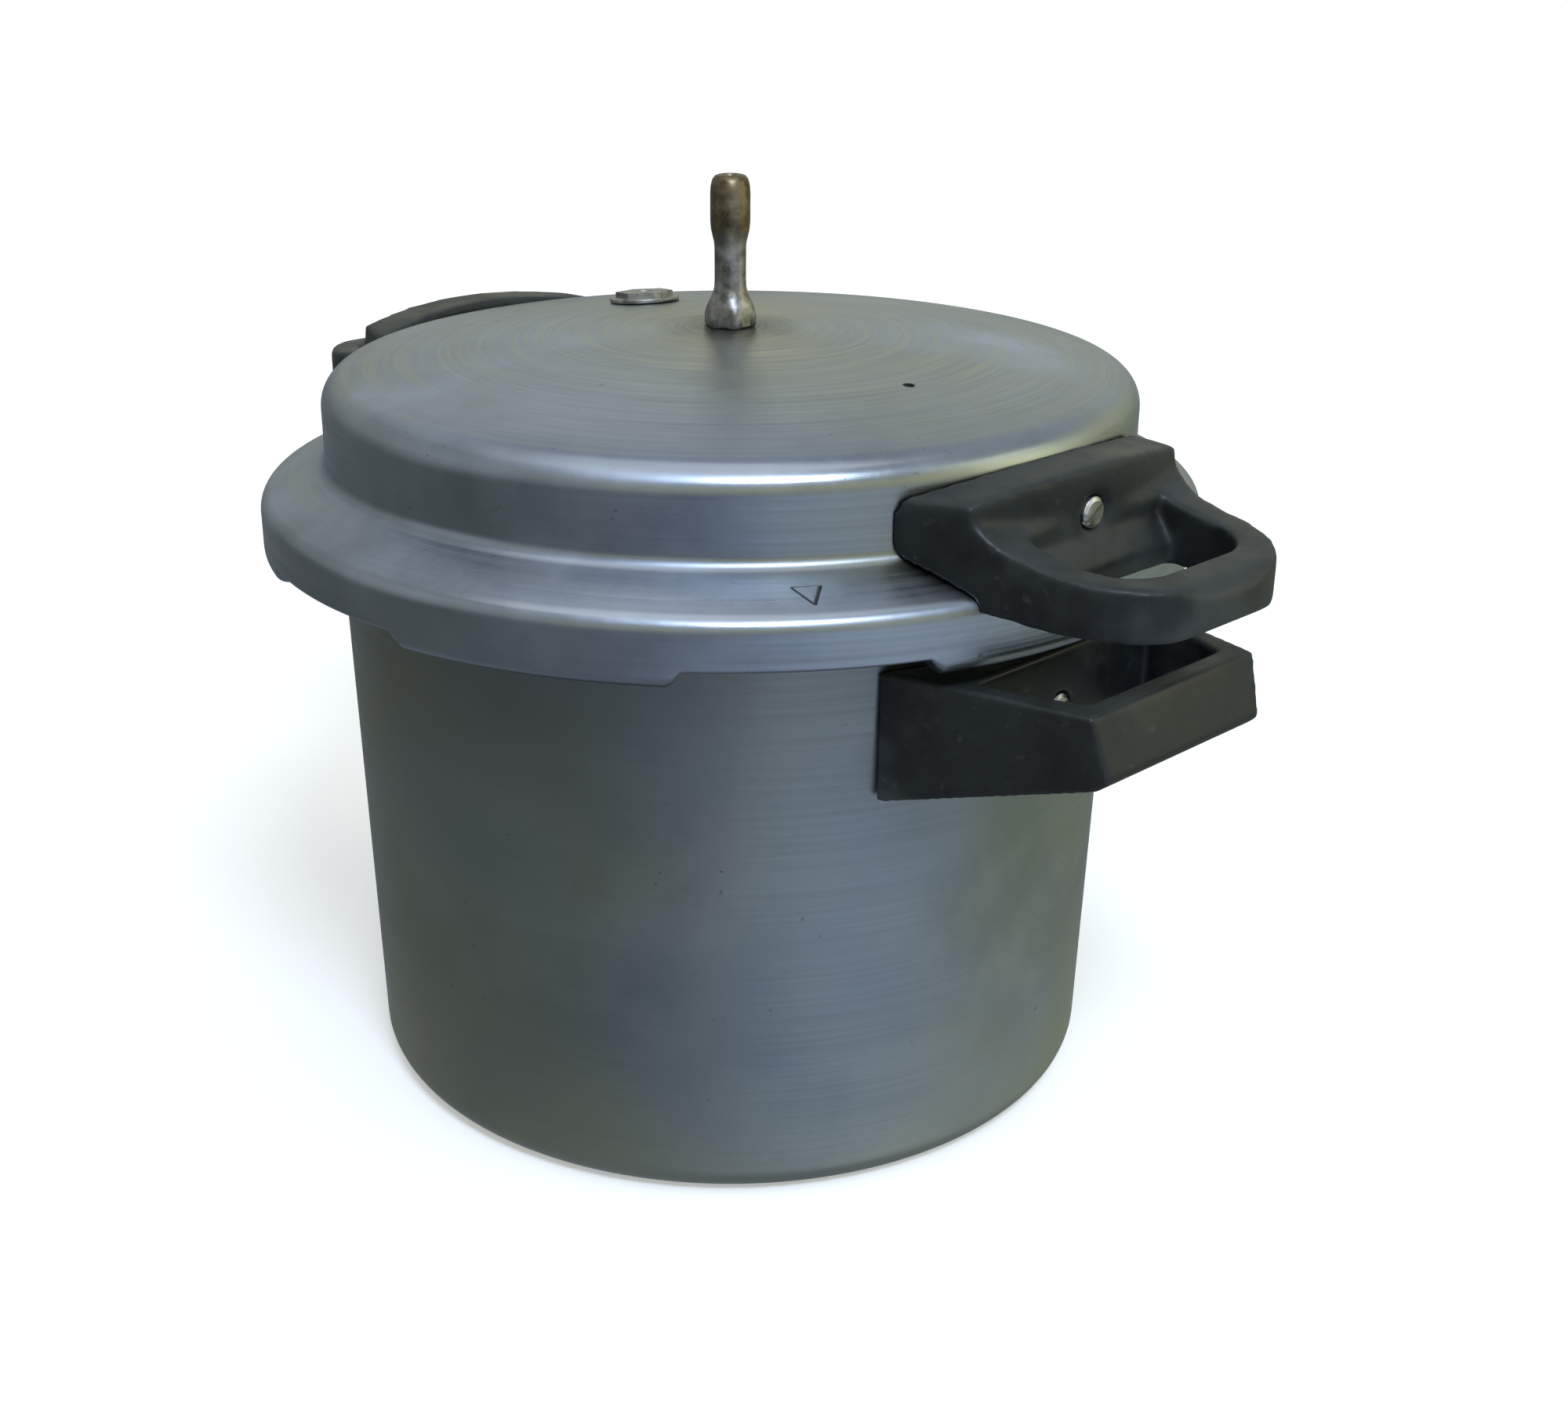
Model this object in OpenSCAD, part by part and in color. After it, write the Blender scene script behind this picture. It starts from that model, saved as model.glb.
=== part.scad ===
// Stovetop pressure cooker, outer-lid type: pot, bayonet lid, sealing ring,
// vent pipe, fusible safety plug and two pairs of moulded side handles.
// Millimetres. +Z is up, +X runs through the handles, and the origin is the
// centre of the pot's underside.

/* [Pot] */
// Outside radius of the pot wall just under the flange
pot_top_r = 106.3; // [105:0.1:107]
// Outside radius of the pot wall just above the base corner
pot_base_r = 102.8; // [99:0.1:105]
// Height of the flange face that the sealing ring presses on
pot_h = 156.1; // [150:0.1:175]
// Thickness of the pot wall
pot_wall = 3; // [2:0.5:4]
// Thickness of the pot's base
pot_base_t = 4.5; // [3.5:0.5:6]
// Radius of the outside corner of the base
pot_corner_r = 8; // [6:1:14]

/* [Lid] */
// Outside radius of the raised crown
crown_r = 109; // [108:0.5:110]
// Height of the crown above the skirt corner
crown_rise = 29.1; // [26:0.1:36]
// Outside radius of the skirt
skirt_r = 126.5; // [126:0.5:128]
// Thickness of the lid sheet
lid_wall = 3; // [2.4:0.2:3.2]
// Extra height at the middle of the domed top
dome_rise = 9.2; // [4:0.2:12]

/* [Bayonet] */
// Number of lugs on the pot and on the lid
lug_count = 6; // [6:1:6]
// Width of each lid lug in degrees
lid_lug_deg = 32.8; // [30:0.2:33]
// Width of each pot lug in degrees
pot_lug_deg = 25; // [22:1:26]
// Angle from the handle line to the middle of the nearest lug
lug_phase = -5.3; // [-20:0.1:20]

/* [Handles] */
// Half width of a lid handle's saddle
saddle_half_w = 44; // [40:0.5:48]
// Distance from the axis to the tip of a lid handle
lid_handle_reach = 163.5; // [158:0.5:172]
// Distance from the axis to the outer face of a pot handle
pot_handle_reach = 149; // [144:0.5:160]
// Half width of a pot handle where it meets the pot
pot_handle_half_w = 44; // [38:0.5:46]

/* [Vent and safety plug] */
// Height of the vent pipe above the top of the lid
vent_h = 39.2; // [32:0.2:44]
// Radius of the bore through the vent pipe
vent_bore_r = 1.6; // [1.2:0.1:2]
// Distance from the lid's axis to the safety plug
plug_offset = 54.8; // [40:0.2:65]
// Angle of the safety plug round the lid, from the handle line
plug_angle = 163.7; // [0:0.1:359]

/* [Hidden] */
$fn = 96;
eps = 0.01;
gap = 0.4;                                  // room between parts that slide or turn
arc_steps = 6;

// Bayonet levels
lid_lug_t = 3.4;
pot_lug_drop = 3.2;                         // a pot lug's underside below the flange face
pot_lug_z = pot_h - pot_lug_drop;
lid_lug_z = pot_lug_z - gap - lid_lug_t;    // underside of a lid lug
skirt_z = lid_lug_z + lid_lug_t + 1.1;      // lower edge of the skirt between lugs
skirt_in_r = skirt_r - lid_wall;
lug_inset = 0.05;                           // a lid lug's faces lie just inside the skirt's
lid_lug_in_r = skirt_r - 11.5;
flange_r = lid_lug_in_r - 1.5;
pot_lug_r = skirt_in_r - 1.2;

// Lid levels
corner_z = skirt_z + 13.5;                  // top of the skirt's rounded corner
skirt_corner_r = 5;
shoulder_z = corner_z + 4.4;                // where the shoulder meets the crown
crown_z = corner_z + crown_rise;
crown_corner_r = 8.2;
fillet_r = 4;
lid_top_z = crown_z + dome_rise;
gasket_z = pot_h + 0.2;

// Lid handles
fit_gap = 0.1;                              // room between parts that are screwed together
saddle_r = crown_r + fit_gap;
saddle_face_x = 123;
saddle_face_half = 38.5;                    // half width of the block's face at its corners
saddle_corner_x = saddle_face_x - 5;
apron_x = 127.6;                            // the face slopes out to here, past the skirt
saddle_top_z = 191;
saddle_end_z = 187;
saddle_low_z = corner_z - 1;
screw_z = 179.6;
left_lift = 6;                              // the left lid handle is fixed a little higher
screw_r = 2;
stud_r = 2.7;
head_r = 3.75;
head_t = 2.6;
recess_r = 4.3;
recess_d = 3;

// Pot handle levels
pot_handle_top = 144.7;
pot_root_z = 111.5;
pot_bar_z = 127;
pot_handle_draft = 4.5;                     // the outer face leans out towards its lower edge
pot_bar_half_w = 30;
pot_bar_t = 6;
pot_root_x = 117;
pot_screw_z = 129;

// Points of an arc round [cx, cy] from angle a0 to a1.
function arc(cx, cy, r, a0, a1, n = arc_steps) =
    [for (i = [0:n]) let (a = a0 + (a1 - a0) * i / n) [cx + r * cos(a), cy + r * sin(a)]];

// Height of the domed top at radius r, for a dome that starts at height z0 and radius r0.
function dome(r, r0, z0) = z0 + dome_rise * (1 - pow(r / r0, 2));
function dome_points(r0, z0, n = 6) = [for (i = [1:n]) let (r = r0 * (1 - i / n)) [r, dome(r, r0, z0)]];

// Height of the lid's outer top surface at radius r.
function lid_top(r) = dome(r, crown_r - crown_corner_r, crown_z);

// Copies a child to the right side, or turned to the left side.
module side(left) {
    rotate([0, 0, left ? 180 : 0]) children();
}

// A cylinder along +X from x0 to x1 at height z.
module rod_x(r, x0, x1, z) {
    translate([x0, 0, z]) rotate([0, 90, 0]) cylinder(r = r, h = x1 - x0);
}

module ring_sector(points, deg) {
    rotate([0, 0, -deg / 2]) rotate_extrude(angle = deg) polygon(points);
}

module around(count, phase) {
    for (i = [0:count - 1]) rotate([0, 0, phase + i * 360 / count]) children();
}

// ---- pot ----

module pot_section() {
    in_r0 = pot_base_r - pot_wall;
    in_r1 = pot_top_r - pot_wall;
    in_corner = pot_corner_r - pot_wall;
    polygon(concat(
        [[0, 0]],
        arc(pot_base_r - pot_corner_r, pot_corner_r, pot_corner_r, -90, 0),
        [[pot_top_r, pot_lug_z - 4], [pot_top_r + 2, pot_lug_z], [flange_r, pot_lug_z], [flange_r, pot_h],
            [in_r1, pot_h]],
        arc(in_r0 - in_corner, pot_base_t + in_corner, in_corner, 0, -90),
        [[0, pot_base_t]]));
}

module pot_lug() {
    ring_sector([[flange_r - 2, pot_lug_z], [pot_lug_r - 0.6, pot_lug_z], [pot_lug_r, pot_lug_z + 0.6],
        [pot_lug_r, pot_h - 0.6], [pot_lug_r - 0.6, pot_h], [flange_r - 2, pot_h]], pot_lug_deg);
}

module pot() {
    color("#8e9598") difference() {
        union() {
            rotate_extrude() pot_section();
            around(lug_count, lug_phase) pot_lug();
        }
        for (left = [false, true]) side(left) rod_x(stud_r, 90, 112, pot_screw_z);
    }
}

// ---- lid ----

crown_flat_r = crown_r - crown_corner_r;
shoulder_r = crown_r + fillet_r;

// Outer surface of the lid from the skirt's corner up and over the crown to the middle.
lid_outer = concat(
    arc(skirt_r - skirt_corner_r, corner_z - skirt_corner_r, skirt_corner_r, 0, 66),
    arc(shoulder_r, shoulder_z + fillet_r, fillet_r, 246, 180),
    arc(crown_flat_r, crown_z - crown_corner_r, crown_corner_r, 0, 80),
    dome_points(crown_flat_r, crown_z));

module lid_section() {
    crown_in_r = crown_r - lid_wall;
    slope_drop = lid_wall / cos(24);
    inner_dome = [for (p = dome_points(crown_flat_r, crown_z)) [p[0], p[1] - lid_wall]];
    polygon(concat(
        [[skirt_in_r, skirt_z], [skirt_r, skirt_z]],
        lid_outer,
        [for (i = [len(inner_dome) - 1:-1:0]) inner_dome[i]],
        arc(crown_flat_r, crown_z - crown_corner_r, crown_corner_r - lid_wall, 80, 0),
        [[crown_in_r, shoulder_z - slope_drop + 3], [crown_in_r + 1.6, shoulder_z - slope_drop + 0.6],
            [skirt_in_r - 3, corner_z - slope_drop - 0.2], [skirt_in_r, corner_z - slope_drop - 2.4]]));
}

module lid_lug() {
    lip_top = lid_lug_z + lid_lug_t;
    in_r = skirt_in_r + lug_inset;
    out_r = skirt_r - lug_inset;
    ring_sector(concat(
        [[in_r, skirt_z + 1], [in_r, lip_top], [lid_lug_in_r + 1, lip_top],
            [lid_lug_in_r, lip_top - 1], [lid_lug_in_r, lid_lug_z]],
        arc(out_r - 4, lid_lug_z + 4, 4, -90, 0),
        [[out_r, skirt_z + 1]]), lid_lug_deg);
}

module at_plug() {
    rotate([0, 0, plug_angle]) translate([plug_offset, 0, 0]) children();
}

module lid_shell() {
    color("#8f969b") difference() {
        union() {
            rotate_extrude() lid_section();
            around(lug_count, lug_phase) lid_lug();
        }
        translate([0, 0, lid_top_z - 10]) cylinder(r = vent_thread_r, h = 20);
        on_plug_seat() translate([0, 0, -10]) cylinder(r = plug_thread_r, h = 20);
        rod_x(stud_r, 95, 115, screw_z);
        side(true) rod_x(stud_r, 95, 115, screw_z + left_lift);
        translate([pit_x, pit_y, lid_top(pit_x) - pit_depth]) cylinder(r = pit_r, h = 5);
    }
}

pit_x = 68.4;
pit_y = -4.6;
pit_r = 1.35;
pit_depth = 1.2;

// The ring fills the pocket under the shoulder, above the pot's flange.
module sealing_ring() {
    in_r = crown_r - 2;
    out_r = skirt_in_r - 0.5;
    slope_drop = lid_wall / cos(24) + 0.5;
    color("#3a3a3c") rotate_extrude() polygon([[in_r, gasket_z + 0.8], [in_r + 0.8, gasket_z],
        [out_r, gasket_z], [out_r, corner_z - slope_drop - 3.2], [out_r - 3, corner_z - slope_drop - 0.6],
        [shoulder_r, shoulder_z - slope_drop - 1.2], [in_r + 1.4, shoulder_z - slope_drop - 0.6],
        [in_r, shoulder_z - slope_drop - 2]]);
}

// ---- vent pipe ----

vent_thread_r = 4;
vent_head_r = 5.3;
vent_stem_r = 4.1;
vent_nut_t = 5;
sheet_gap = 0.05;

module vent_pipe() {
    z0 = lid_top_z + sheet_gap;
    hex_h = 4.5;
    neck_z = z0 + 9;
    head_z = z0 + vent_h - 14.8;
    top_z = z0 + vent_h;
    color("#84807a") difference() {
        union() {
            translate([0, 0, z0]) cylinder(r = 7.2, h = hex_h, $fn = 6);
            translate([0, 0, z0 - lid_wall - 8]) cylinder(r = vent_thread_r - sheet_gap, h = lid_wall + 10);
            rotate_extrude() polygon([[0, z0 + 1], [6.2, z0 + 1], [6.2, z0 + hex_h], [5.6, z0 + 7],
                [vent_stem_r + 0.2, neck_z], [vent_stem_r, neck_z + 1.5], [vent_stem_r, head_z - 3.5],
                [vent_head_r - 0.5, head_z - 0.5], [vent_head_r, head_z + 2.5], [vent_head_r, top_z - 4.5],
                [vent_head_r - 0.5, top_z - 1.6], [vent_head_r - 1.4, top_z], [0, top_z]]);
        }
        translate([0, 0, z0 - 20]) cylinder(r = vent_bore_r, h = vent_h + 40);
    }
}

module vent_washer() {
    z1 = dome(8.5, crown_flat_r, crown_z) - lid_wall - sheet_gap;
    color("#b9b9b4") difference() {
        translate([0, 0, z1 - 1.3]) cylinder(r = 8.5, h = 1.15);
        translate([0, 0, z1 - 3]) cylinder(r = vent_thread_r, h = 5);
    }
}

module vent_nut() {
    z1 = dome(8.5, crown_flat_r, crown_z) - lid_wall - 1.3 - 2 * sheet_gap;
    color("#a9a49a") difference() {
        translate([0, 0, z1 - vent_nut_t]) cylinder(r = 7.5, h = vent_nut_t, $fn = 6);
        translate([0, 0, z1 - vent_nut_t - 1]) cylinder(r = vent_thread_r, h = vent_nut_t + 2);
    }
}

// ---- safety plug ----

plug_thread_r = 5;
plug_head_r = 10;
plug_core_r = 2.4;
plug_seat = lid_top(plug_offset);
plug_tilt = atan(2 * dome_rise * plug_offset / pow(crown_flat_r, 2));

// The plug stands square to the domed sheet.
module on_plug_seat() {
    at_plug() translate([0, 0, plug_seat]) rotate([0, plug_tilt, 0]) children();
}

module safety_plug_body() {
    color("#9b9b96") on_plug_seat() difference() {
        union() {
            translate([0, 0, 0.15]) cylinder(r = plug_head_r, h = 1.2);
            translate([0, 0, 1.3]) cylinder(r = plug_head_r - 1.6, h = 1.6, $fn = 6);
            translate([0, 0, -lid_wall - 7.5]) cylinder(r = plug_thread_r - sheet_gap, h = lid_wall + 8.5);
        }
        translate([0, 0, -20]) cylinder(r = plug_core_r, h = 40);
    }
}

module safety_plug_fuse() {
    color("#c3c4c0") on_plug_seat()
        translate([0, 0, -lid_wall - 7]) cylinder(r = plug_core_r - 0.05, h = lid_wall + 9.6);
}

module safety_plug_washer() {
    color("#4a4a48") on_plug_seat() difference() {
        translate([0, 0, -lid_wall - 1.5]) cylinder(r = 8, h = 1.3);
        translate([0, 0, -lid_wall - 4]) cylinder(r = plug_thread_r, h = 6);
    }
}

module safety_plug_nut() {
    color("#a9a49a") on_plug_seat() difference() {
        translate([0, 0, -lid_wall - 6.1]) cylinder(r = 8.2, h = 4.5, $fn = 6);
        translate([0, 0, -lid_wall - 8]) cylinder(r = plug_thread_r, h = 8);
    }
}

// ---- lid handles ----

stud_head_r = 4.2;
stud_head_t = 2;

// Outline seen from outside, Y across and Z up: an arched block.
module saddle_front() {
    half = saddle_half_w;
    rise = saddle_top_z - saddle_end_z;
    polygon(concat(
        [[-half + 4, saddle_low_z], [half - 4, saddle_low_z], [half, saddle_low_z + 6],
            [half, saddle_end_z - 3]],
        [for (i = [0:12]) let (t = 1 - i / 6) [(half - 2) * t, saddle_end_z + rise * (1 - t * t)]],
        [[-half, saddle_end_z - 3], [-half, saddle_low_z + 6]]));
}

// Outline from above: a slightly bowed face between two slanted ends.
module saddle_plan() {
    half = saddle_half_w;
    polygon([[90, -half], [101, -half], [saddle_corner_x, -saddle_face_half], [saddle_face_x - 1.2, -20],
        [saddle_face_x, -8], [saddle_face_x, 8], [saddle_face_x - 1.2, 20],
        [saddle_corner_x, saddle_face_half], [101, half], [90, half]]);
}

// Outline of the finger loop from above. Its arms carry on from the block's slanted ends.
module loop_plan() {
    half0 = saddle_half_w - 0.4;
    half1 = saddle_face_half - 3.3;
    r = 30;
    polygon(concat(
        [[100, -half0], [saddle_corner_x, -saddle_face_half - 0.1], [saddle_face_x + 5, -half1 - 0.7]],
        arc(lid_handle_reach - r, -half1 + r, r, -80, 0, 10),
        arc(lid_handle_reach - r, half1 - r, r, 0, 80, 10),
        [[saddle_face_x + 5, half1 + 0.7], [saddle_corner_x, saddle_face_half + 0.1], [100, half0]]));
}

// Finger opening of the loop from above.
module loop_hole() {
    half = 25;
    r = 14;
    x1 = lid_handle_reach - 12;
    polygon(concat([[saddle_face_x + eps, -half]], arc(x1 - r, -half + r, r, -80, 0, 8),
        arc(x1 - r, half - r, r, 0, 80, 8), [[saddle_face_x + eps, half]]));
}

// Outline of the loop from the side: its arms sweep down from the block's face to the tip.
module loop_side() {
    z = loop_low_z;
    face_x = saddle_face_x;
    tip_x = lid_handle_reach;
    polygon([[100, z + 3.1], [skirt_r, z + 1.5], [tip_x - 15, z + 0.8], [tip_x - 4, z + 0.3], [tip_x, z + 3],
        [tip_x, z + 10], [tip_x - 4, z + 13], [tip_x - 15, z + 13.8], [face_x + 13, z + 15],
        [face_x + 4, z + 17], [face_x - 1, z + 19.5], [face_x - 5, z + 23], [100, z + 24]]);
}

// Where the finger opening may cut, from the side: it leaves a sloping apron below the face.
module opening_side() {
    x0 = saddle_face_x + eps;
    polygon([[x0, 260], [x0, loop_low_z + 13.8], [apron_x, loop_low_z + 7], [apron_x, 100],
        [200, 100], [200, 260]]);
}

loop_low_z = 161;

// Everything closer to the axis than the lid's surface, plus the fitting gap.
module lid_room() {
    g = 0.3;
    rotate_extrude() polygon(concat([[0, 100], [skirt_r + g, 100]],
        arc(skirt_r - skirt_corner_r, corner_z - skirt_corner_r, skirt_corner_r + g, 0, 66),
        [[shoulder_r, shoulder_z + g + 0.2], [saddle_r + 1.4, shoulder_z + 1.6],
            [saddle_r + 0.4, shoulder_z + 3], [saddle_r, shoulder_z + 4.4], [saddle_r, 230], [0, 230]]));
}

module lid_handle(lift = 0) {
    color("#23262a") difference() {
        union() {
            translate([0, 0, lift]) intersection() {
                translate([0, 0, 140]) linear_extrude(80) saddle_plan();
                rotate([90, 0, 90]) linear_extrude(200) saddle_front();
            }
            translate([0, 0, lift]) difference() {
                intersection() {
                    translate([0, 0, 140]) linear_extrude(80) loop_plan();
                    rotate([90, 0, 0]) translate([0, 0, -100]) linear_extrude(200) loop_side();
                }
                intersection() {
                    translate([0, 0, 140]) linear_extrude(80) loop_hole();
                    rotate([90, 0, 0]) translate([0, 0, -100]) linear_extrude(200) opening_side();
                }
            }
        }
        lid_room();
        rod_x(screw_r, 90, 140, screw_z + lift);
        rod_x(recess_r, saddle_face_x - recess_d, 150, screw_z + lift);
        rod_x(stud_head_r + fit_gap, 90, crown_r + stud_head_t + fit_gap, screw_z + lift);
    }
}

// A threaded stud riveted through a curved wall of radius wall_r.
module stud(wall_r, wall_t, z) {
    difference() {
        union() {
            rod_x(stud_r - sheet_gap, wall_r - wall_t - 0.8, wall_r + stud_head_t, z);
            rod_x(stud_head_r, wall_r + sheet_gap, wall_r + stud_head_t, z);
            rod_x(stud_head_r - 0.4, wall_r - wall_t - 2, wall_r - wall_t - 0.6, z);
        }
        rod_x(screw_r - 0.4, wall_r - 1, wall_r + 10, z);
    }
}

// A slotted screw: tip_x is its inner end, seat_x the face its head sits on.
module slotted_screw(tip_x, seat_x, z) {
    difference() {
        union() {
            rod_x(screw_r - 0.45, tip_x, seat_x + eps, z);
            rod_x(head_r, seat_x, seat_x + head_t - 0.6, z);
            translate([seat_x + head_t - 0.6, 0, z]) rotate([0, 90, 0])
                cylinder(r1 = head_r, r2 = head_r - 0.9, h = 0.6);
        }
        translate([seat_x + head_t - slot_d, 0, z]) rotate([slot_turn, 0, 0])
            translate([0, -6, -slot_w / 2]) cube([3, 12, slot_w]);
    }
}

slot_turn = 35;
slot_w = 1;
slot_d = 1.2;
washer_t = 0.6;

module washer_x(x, z) {
    difference() {
        rod_x(recess_r - 0.1, x, x + washer_t, z);
        rod_x(screw_r, x - 1, x + 2, z);
    }
}

module lid_stud(lift = 0) {
    color("#a5a7a8") stud(crown_r, lid_wall, screw_z + lift);
}

module lid_screw(lift = 0) {
    color("#b6b3a8") slotted_screw(crown_r, saddle_face_x - recess_d + washer_t, screw_z + lift);
}

module lid_screw_washer(lift = 0) {
    color("#c4c2ba") washer_x(saddle_face_x - recess_d, screw_z + lift);
}

// ---- pot handles ----

pot_wall_x = 106;                           // outside of the pot's wall at the screw
pot_bore_r = 106.6;

module pot_handle_plan() {
    half0 = pot_handle_half_w;
    half1 = pot_bar_half_w;
    x1 = pot_handle_reach + pot_handle_draft;
    polygon([[80, -half0], [98, -half0], [x1 - 3, -half1 - 1], [x1 + 1, -half1 + 1],
        [x1 + 1, half1 - 1], [x1 - 3, half1 + 1], [98, half0], [80, half0]]);
}

module pot_handle_hole() {
    half0 = pot_handle_half_w - 10.5;
    half1 = pot_bar_half_w - 5;
    polygon([[pot_root_x, -half0], [pot_handle_reach - pot_bar_t, -half1],
        [pot_handle_reach - pot_bar_t, half1], [pot_root_x, half0]]);
}

module pot_handle_side() {
    x1 = pot_handle_reach;
    rise = (pot_bar_z - pot_root_z) / (x1 - 98);
    polygon([[80, pot_root_z - 18 * rise], [x1 + pot_handle_draft - 3, pot_bar_z],
        [x1 + pot_handle_draft, pot_bar_z + 2.5], [x1, pot_handle_top], [80, pot_handle_top]]);
}

module pot_handle() {
    color("#1f2225") difference() {
        intersection() {
            translate([0, 0, 90]) linear_extrude(80) pot_handle_plan();
            rotate([90, 0, 0]) translate([0, 0, -100]) linear_extrude(200) pot_handle_side();
        }
        translate([0, 0, 90]) cylinder(r = pot_bore_r, h = 100);
        translate([0, 0, 90]) linear_extrude(80) pot_handle_hole();
        rod_x(screw_r, 80, 130, pot_screw_z);
        rod_x(recess_r, pot_root_x - recess_d, 130, pot_screw_z);
        rod_x(stud_head_r + fit_gap, 80, pot_wall_x + stud_head_t + fit_gap, pot_screw_z);
    }
}

module pot_stud() {
    color("#a5a7a8") stud(pot_wall_x, pot_wall, pot_screw_z);
}

module pot_screw() {
    color("#b6b3a8") slotted_screw(pot_wall_x, pot_root_x - recess_d + washer_t, pot_screw_z);
}

module pot_screw_washer() {
    color("#c4c2ba") washer_x(pot_root_x - recess_d, pot_screw_z);
}

pot();
sealing_ring();
lid_shell();
vent_pipe();
vent_washer();
vent_nut();
safety_plug_body();
safety_plug_fuse();
safety_plug_washer();
safety_plug_nut();
side(false) lid_handle();  // lid_handle_right
side(true) lid_handle(left_lift);  // lid_handle_left
side(false) lid_stud();  // lid_stud_right
side(true) lid_stud(left_lift);  // lid_stud_left
side(false) lid_screw();  // lid_screw_right
side(true) lid_screw(left_lift);  // lid_screw_left
side(false) lid_screw_washer();  // lid_screw_washer_right
side(true) lid_screw_washer(left_lift);  // lid_screw_washer_left
side(false) pot_handle();  // pot_handle_right
side(true) pot_handle();  // pot_handle_left
side(false) pot_stud();  // pot_stud_right
side(true) pot_stud();  // pot_stud_left
side(false) pot_screw();  // pot_screw_right
side(true) pot_screw();  // pot_screw_left
side(false) pot_screw_washer();  // pot_screw_washer_right
side(true) pot_screw_washer();  // pot_screw_washer_left
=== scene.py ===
"""Looks for the stovetop pressure cooker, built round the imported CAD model. Metres, Z up."""

import math

import bmesh
import bpy
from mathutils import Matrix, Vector


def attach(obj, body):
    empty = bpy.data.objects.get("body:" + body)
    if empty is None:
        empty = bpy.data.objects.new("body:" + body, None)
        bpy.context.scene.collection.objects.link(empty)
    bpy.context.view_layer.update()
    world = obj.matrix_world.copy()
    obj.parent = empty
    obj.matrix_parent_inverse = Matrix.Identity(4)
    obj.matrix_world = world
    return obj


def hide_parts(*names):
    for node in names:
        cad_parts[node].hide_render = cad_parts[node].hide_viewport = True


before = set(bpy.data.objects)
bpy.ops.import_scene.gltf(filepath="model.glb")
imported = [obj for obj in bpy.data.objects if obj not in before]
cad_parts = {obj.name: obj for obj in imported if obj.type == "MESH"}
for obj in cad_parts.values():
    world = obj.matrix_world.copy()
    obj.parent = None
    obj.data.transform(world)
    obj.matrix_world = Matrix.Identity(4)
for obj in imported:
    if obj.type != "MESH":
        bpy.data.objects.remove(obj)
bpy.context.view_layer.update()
MM = 0.001

# ---------------------------------------------------------------- dimensions, mm, as in the CAD
LUGS, LUG_PHASE, LID_LUG_DEG, POT_LUG_DEG = 6, -5.3, 32.8, 25.0
LUG_EASE = 1.6  # degrees over which a lug's end runs out
COLUMNS = 432
CREASE_DEG = 35
SKIRT_R, SKIRT_IN_R, LIP_R = 126.5, 123.5, 115.0
LUG_Z, LIP_TOP_Z, SKIRT_Z = 149.1, 152.5, 153.6
CORNER_Z, SHOULDER_Z, CROWN_Z, DOME = 167.1, 171.5, 196.2, 9.2
CROWN_R, CROWN_CORNER, FILLET, SHEET = 109.0, 8.2, 4.0, 3.0
POT_H, POT_LUG_Z, FLANGE_R, POT_LUG_R = 156.1, 152.9, 113.5, 122.3
POT_BASE_R, POT_TOP_R, POT_CORNER, POT_WALL, POT_BASE_T = 102.8, 106.3, 8.0, 3.0, 4.5
LID_TOP_Z = CROWN_Z + DOME


def arc(cx, cy, r, a0, a1, n):
    """Points round a centre from a0 to a1 degrees, both ends with them."""
    steps = [math.radians(a0 + (a1 - a0) * i / n) for i in range(n + 1)]
    return [(cx + r * math.cos(a), cy + r * math.sin(a)) for a in steps]


def line(p, q, n):
    """Points between p and q, without the ends."""
    return [(p[0] + (q[0] - p[0]) * i / n, p[1] + (q[1] - p[1]) * i / n) for i in range(1, n)]


def smooth(t):
    t = min(1.0, max(0.0, t))
    return t * t * (3 - 2 * t)


def lug_weight(angle_deg, width):
    """1 on a lug that many degrees wide, 0 between lugs, and a short run-out at its ends."""
    pitch = 360 / LUGS
    off = abs((angle_deg - LUG_PHASE + pitch / 2) % pitch - pitch / 2)
    return smooth((width / 2 - off) / LUG_EASE + 0.5)


def lathe(name, section, closed=True, columns=COLUMNS):
    """A turned mesh. section(angle in degrees) gives (r, z) in mm, always the same number of points.
    A first or last point on the axis makes a single pole."""
    first = section(0.0)
    count = len(first)
    verts, index = [], {}
    poles = {k for k in (0, count - 1) if first[k][0] == 0}
    for k in poles:
        index[k] = len(verts)
        verts.append((0, 0, first[k][1] * MM))
    for j in range(columns):
        deg = 360 * j / columns
        a = math.radians(deg)
        for k, (r, z) in enumerate(section(deg)):
            if k in poles:
                continue
            index[(j, k)] = len(verts)
            verts.append((r * MM * math.cos(a), r * MM * math.sin(a), z * MM))
    faces = []
    last = count if closed and not poles else count - 1
    for j in range(columns):
        j2 = (j + 1) % columns
        for k in range(last):
            k2 = (k + 1) % count
            if k in poles:
                faces.append((index[k], index[(j, k2)], index[(j2, k2)]))
            elif k2 in poles:
                faces.append((index[(j, k)], index[k2], index[(j2, k)]))
            else:
                faces.append((index[(j, k)], index[(j, k2)], index[(j2, k2)], index[(j2, k)]))
    mesh = bpy.data.meshes.new(name)
    mesh.from_pydata(verts, [], faces)
    return add(name, mesh)


def add(name, mesh, sharp=40):
    obj = bpy.data.objects.new(name, mesh)
    bpy.context.scene.collection.objects.link(obj)
    set_normals(mesh, sharp)
    return obj


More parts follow.
